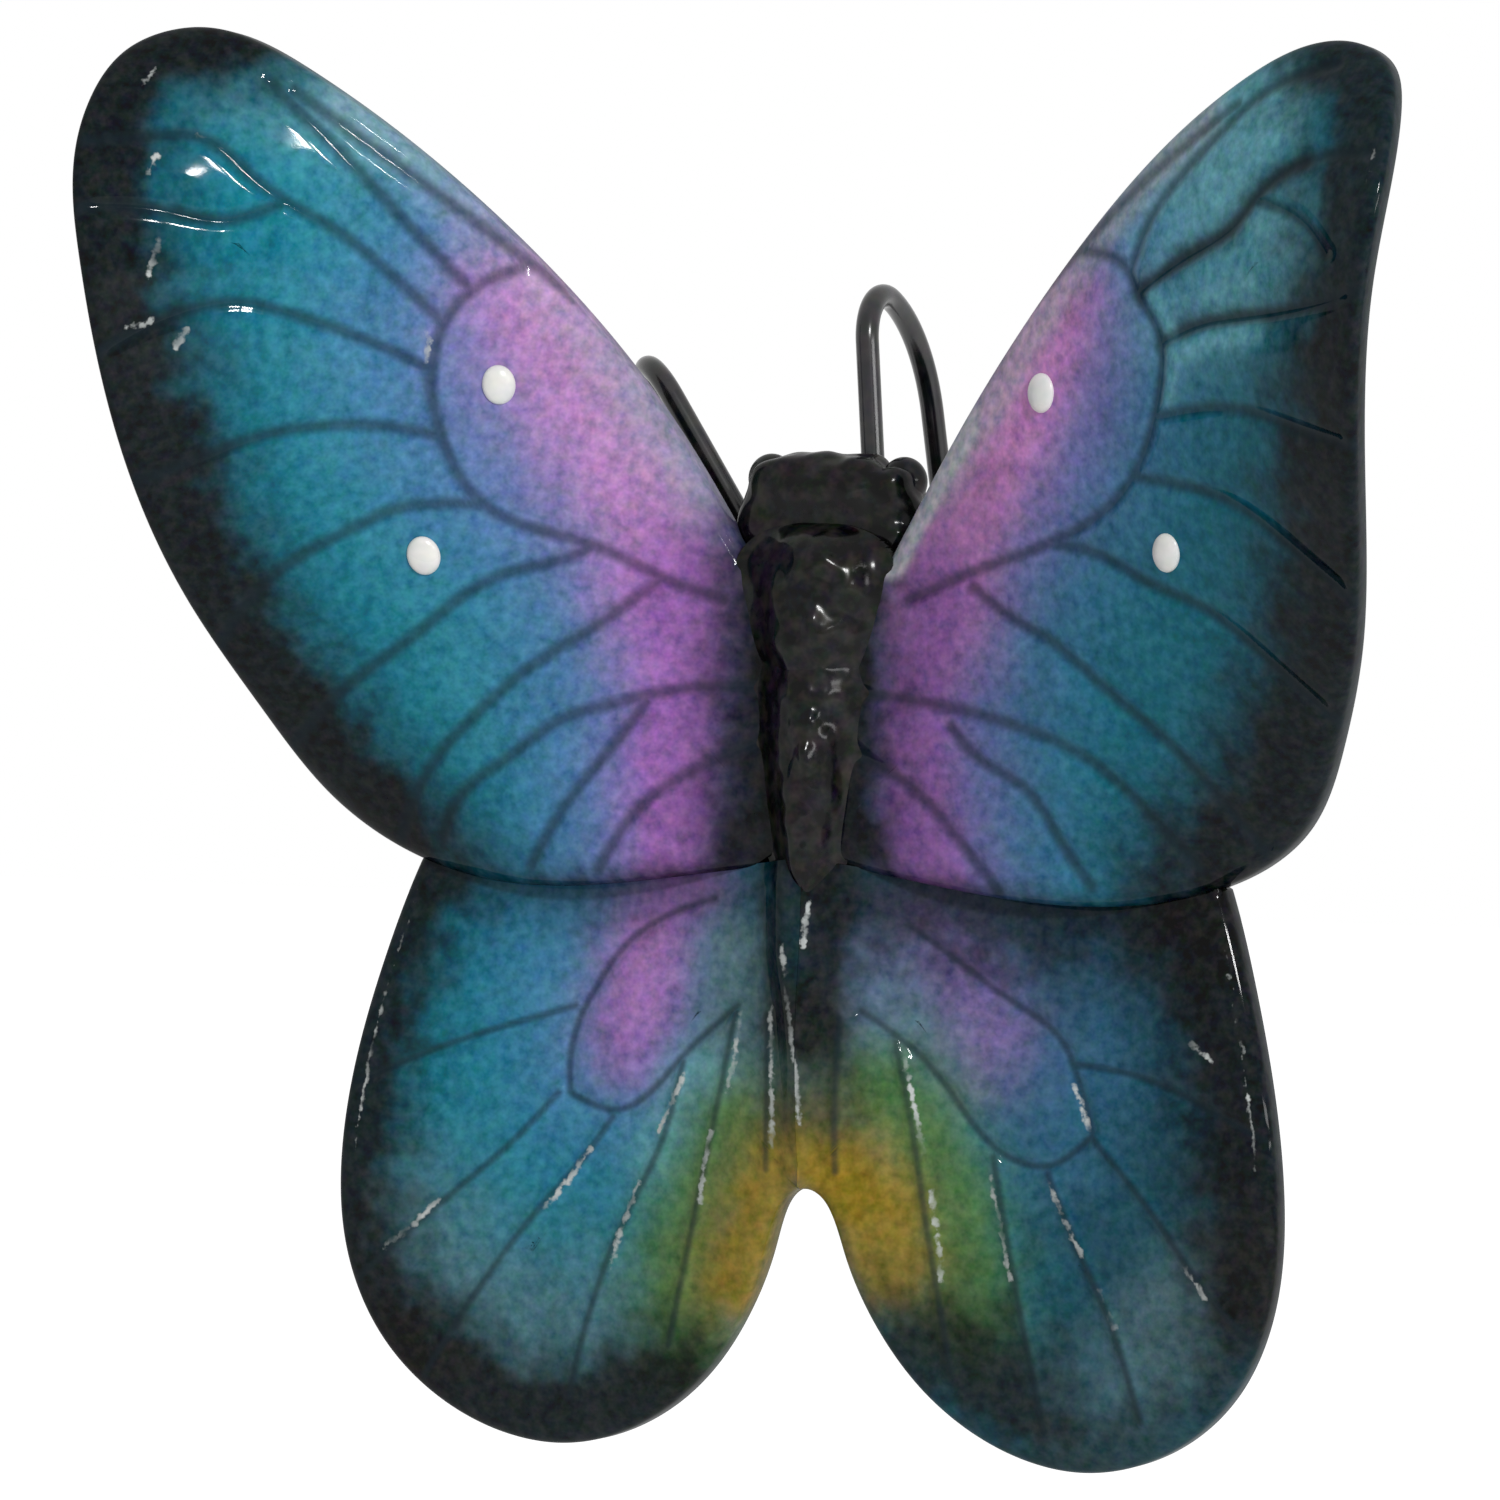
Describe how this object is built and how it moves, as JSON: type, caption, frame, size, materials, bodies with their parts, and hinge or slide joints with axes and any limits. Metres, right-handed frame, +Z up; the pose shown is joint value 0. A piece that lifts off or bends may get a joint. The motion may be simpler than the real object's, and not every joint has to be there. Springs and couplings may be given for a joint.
{
  "type": "butterfly ornament",
  "caption": "Glossy painted butterfly pot hanger with raised upper wings, a black body and bent wire hooks that hang it head up on a pot's rim.",
  "frame": {"origin": "centre of the flat back of the underside, where it lies against the pot's wall", "axes": "+X is the viewer's right when looking at the painted front, +Y points out of the flat back towards the pot, +Z is up, towards the head"},
  "size_m": [0.0924, 0.0433, 0.0961],
  "materials": {
    "wing_lacquer": "cast resin, airbrushed teal, violet and pink with dark vein lines, under clear gloss lacquer",
    "body_lacquer": "cast resin, black paint under clear gloss lacquer",
    "hook_wire": "bent steel wire with black gloss paint",
    "white_enamel": "drops of white enamel paint"
  },
  "bodies": {
    "root": {"right_forewing": "wing_lacquer", "left_forewing": "wing_lacquer", "right_hindwing": "wing_lacquer", "left_hindwing": "wing_lacquer", "thorax": "body_lacquer", "abdomen": "body_lacquer", "head": "body_lacquer", "right_eye": "body_lacquer", "left_eye": "body_lacquer", "underside": "body_lacquer", "right_hook": "hook_wire", "left_hook": "hook_wire", "right_wing_dots": "white_enamel", "left_wing_dots": "white_enamel"}
  },
  "joints": []
}
